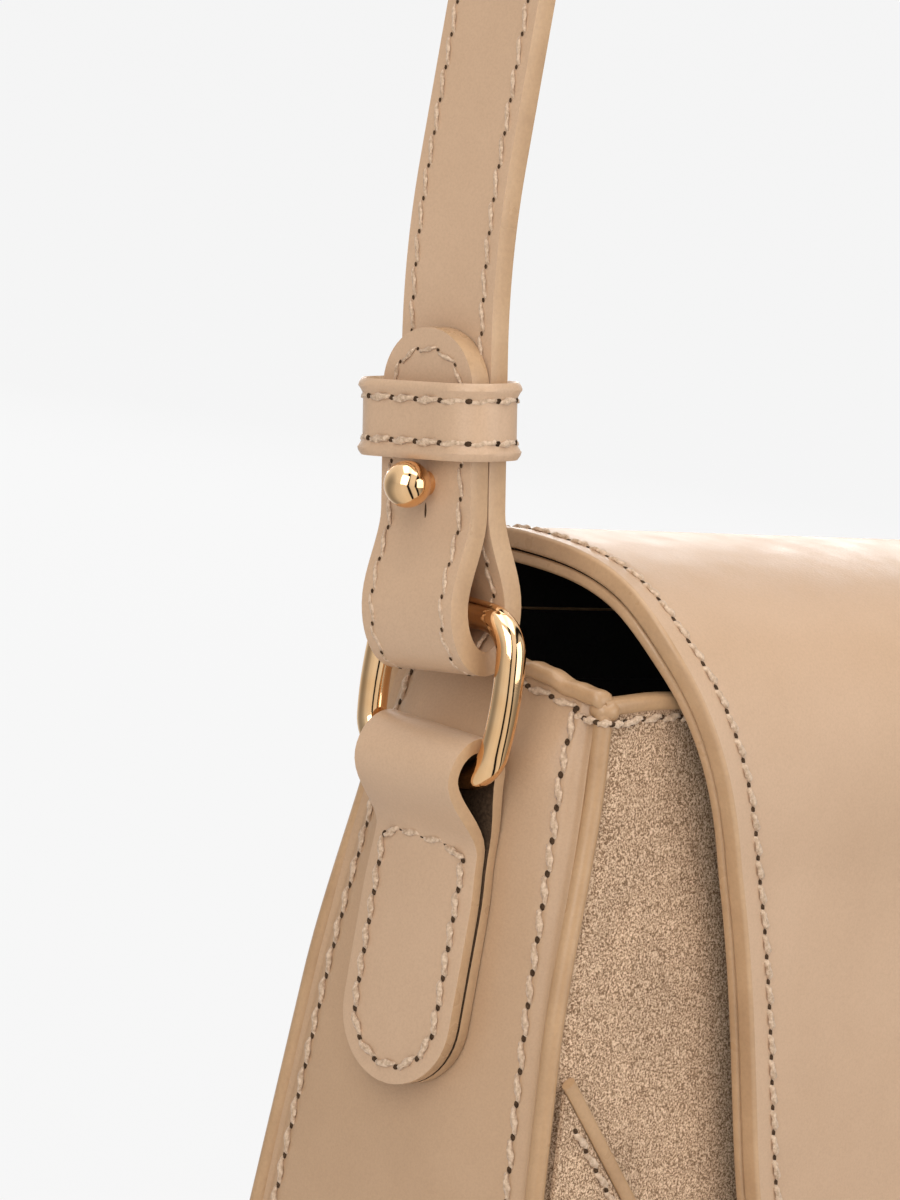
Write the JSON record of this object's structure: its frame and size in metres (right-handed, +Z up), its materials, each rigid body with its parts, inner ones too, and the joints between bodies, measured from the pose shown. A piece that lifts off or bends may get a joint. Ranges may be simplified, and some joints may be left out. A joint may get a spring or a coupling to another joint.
{
  "type": "crossbody bag",
  "caption": "Flap-over crossbody bag with a suede front, bellied leather gussets, oval side rings in folded tabs and a flat strap held by keeper loops and ball studs",
  "frame": {"origin": "on the underside of the base, in the middle between the two side gussets and between the front and back panels", "axes": "X runs from the left gusset to the right gusset, -Y faces out of the front under the flap, +Z points up through the mouth to the strap"},
  "size_m": [0.2602, 0.0775, 0.6018],
  "materials": {
    "smooth_leather": "smooth camel leather, soft sheen",
    "painted_edge": "camel leather with painted edge",
    "suede": "brushed suede, matte",
    "dark_lining": "dark textile lining, matte",
    "base_board": "stiffening board, matte",
    "pale_gold": "polished pale gold plating"
  },
  "bodies": {
    "bag": {"front_panel": "suede", "back_panel": "smooth_leather", "base_panel": "smooth_leather", "base_board": "base_board", "body_lining": "dark_lining", "front_seam_roll": "smooth_leather", "back_seam_roll": "smooth_leather", "front_top_binding": "smooth_leather", "gusset_left": "smooth_leather", "gusset_right": "smooth_leather", "gusset_top_binding_left": "smooth_leather", "gusset_top_binding_right": "smooth_leather", "front_corner_left": "suede", "front_corner_right": "suede", "diagonal_binding_left": "smooth_leather", "diagonal_binding_right": "smooth_leather", "flap_tail": "smooth_leather", "magnet_front": "pale_gold", "side_tab_left": "smooth_leather", "side_tab_right": "smooth_leather"},
    "flap": {"flap_outer": "smooth_leather", "flap_lining": "painted_edge", "magnet_flap": "pale_gold"},
    "left_ring": {"ring_left": "pale_gold"},
    "right_ring": {"ring_right": "pale_gold"},
    "strap": {"shoulder_strap": "smooth_leather", "ball_stud_left": "pale_gold", "ball_stud_right": "pale_gold", "stud_screw_left": "pale_gold", "stud_screw_right": "pale_gold"},
    "left_keeper": {"keeper_left": "smooth_leather"},
    "right_keeper": {"keeper_right": "smooth_leather"}
  },
  "joints": [
    {"name": "flap_open", "type": "hinge", "parent": "bag", "child": "flap", "pos_m": [0, 0.02418, 0.1328], "axis": [-1, 0, 0], "range_deg": [0, 160]},
    {"name": "ring_left_tilt", "type": "hinge", "parent": "bag", "child": "left_ring", "pos_m": [-0.11673, 0, 0.11335], "axis": [0, 1, 0], "range_deg": [-6, 6]},
    {"name": "ring_right_tilt", "type": "hinge", "parent": "bag", "child": "right_ring", "pos_m": [0.11673, 0, 0.11335], "axis": [0, 1, 0], "range_deg": [-6, 6]},
    {"name": "strap_sway", "type": "hinge", "parent": "left_ring", "child": "strap", "pos_m": [-0.11673, 0, 0.13705], "axis": [0, 1, 0], "range_deg": [-6, 6]},
    {"name": "keeper_left_slide", "type": "slide", "parent": "strap", "child": "left_keeper", "axis": [-0.0638, 0.1475, 0.987], "range_m": [0, 0.008]},
    {"name": "keeper_right_slide", "type": "slide", "parent": "strap", "child": "right_keeper", "axis": [0.0638, 0.1475, 0.987], "range_m": [0, 0.008]}
  ],
  "couplings": [
    {"joint": "ring_right_tilt", "follows": "ring_left_tilt", "ratio": 1},
    {"joint": "strap_sway", "follows": "ring_left_tilt", "ratio": -1}
  ]
}
